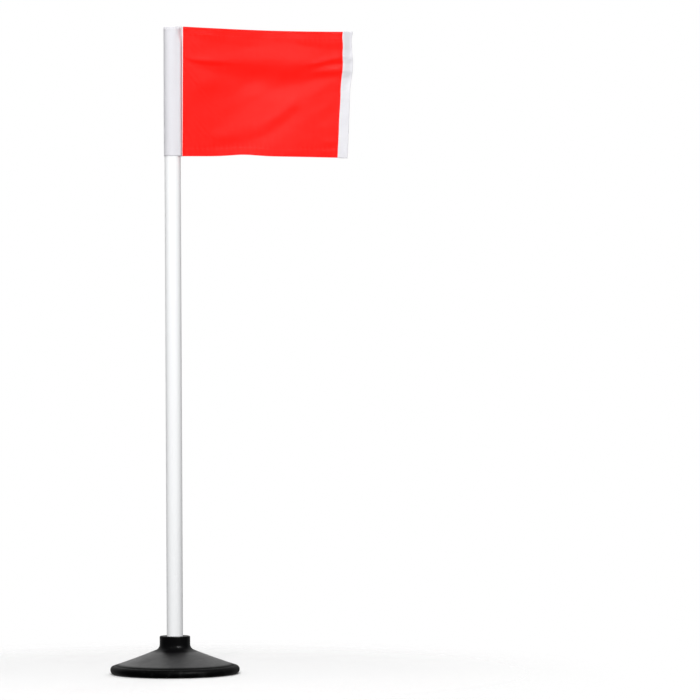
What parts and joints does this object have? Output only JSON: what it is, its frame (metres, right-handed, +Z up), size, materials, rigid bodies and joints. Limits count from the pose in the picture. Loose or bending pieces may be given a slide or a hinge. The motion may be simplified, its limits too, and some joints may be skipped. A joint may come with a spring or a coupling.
{
  "type": "corner flag with weighted base",
  "caption": "Sports corner flag: a rectangular cloth flag with a pole sleeve on a plain round pole that stands in a heavy domed rubber base.",
  "frame": {"origin": "on the pole's axis at the floor, at the middle of the base's flat underside", "axes": "+Z up along the pole, +X from the pole towards the flag's fly end, -Y towards the flag's front"},
  "size_m": [0.5786, 0.3048, 1.524],
  "materials": {
    "base_rubber": "smooth moulded black rubber, satin",
    "pole_plastic": "extruded white PVC, low gloss",
    "cap_plastic": "moulded white plastic",
    "plug_plastic": "moulded black plastic",
    "red_cloth": "fluorescent orange-red woven nylon",
    "white_cloth": "white woven polyester",
    "white_thread": "white polyester thread",
    "red_thread": "red polyester thread"
  },
  "bodies": {
    "base": {"rubber_base": "base_rubber"},
    "pole": {"pole_tube": "pole_plastic", "pole_top_cap": "cap_plastic", "pole_foot_plug": "plug_plastic"},
    "flag_crown": {"sleeve_crown": "white_cloth"},
    "flag": {"hoist_sleeve": "white_cloth", "flag_panel": "red_cloth", "fly_band": "white_cloth", "hoist_seam_thread_front": "white_thread", "hoist_seam_thread_back": "white_thread", "fly_seam_thread_front": "white_thread", "fly_seam_thread_back": "white_thread", "top_hem_thread_front": "red_thread", "top_hem_thread_back": "red_thread", "bottom_hem_thread_front": "red_thread", "bottom_hem_thread_back": "red_thread", "sleeve_hem_thread": "white_thread", "crown_seam_thread": "white_thread"}
  },
  "joints": [
    {"name": "pole_lift", "type": "slide", "parent": "base", "child": "pole", "axis": [0, 0, 1], "range_m": [0, 0.1]},
    {"name": "flag_lift", "type": "slide", "parent": "pole", "child": "flag_crown", "axis": [0, 0, 1], "range_m": [0, 0.32]},
    {"name": "flag_swivel", "type": "hinge", "parent": "flag_crown", "child": "flag", "pos_m": [0, 0, 1.5192], "axis": [0, 0, 1], "continuous": true}
  ]
}
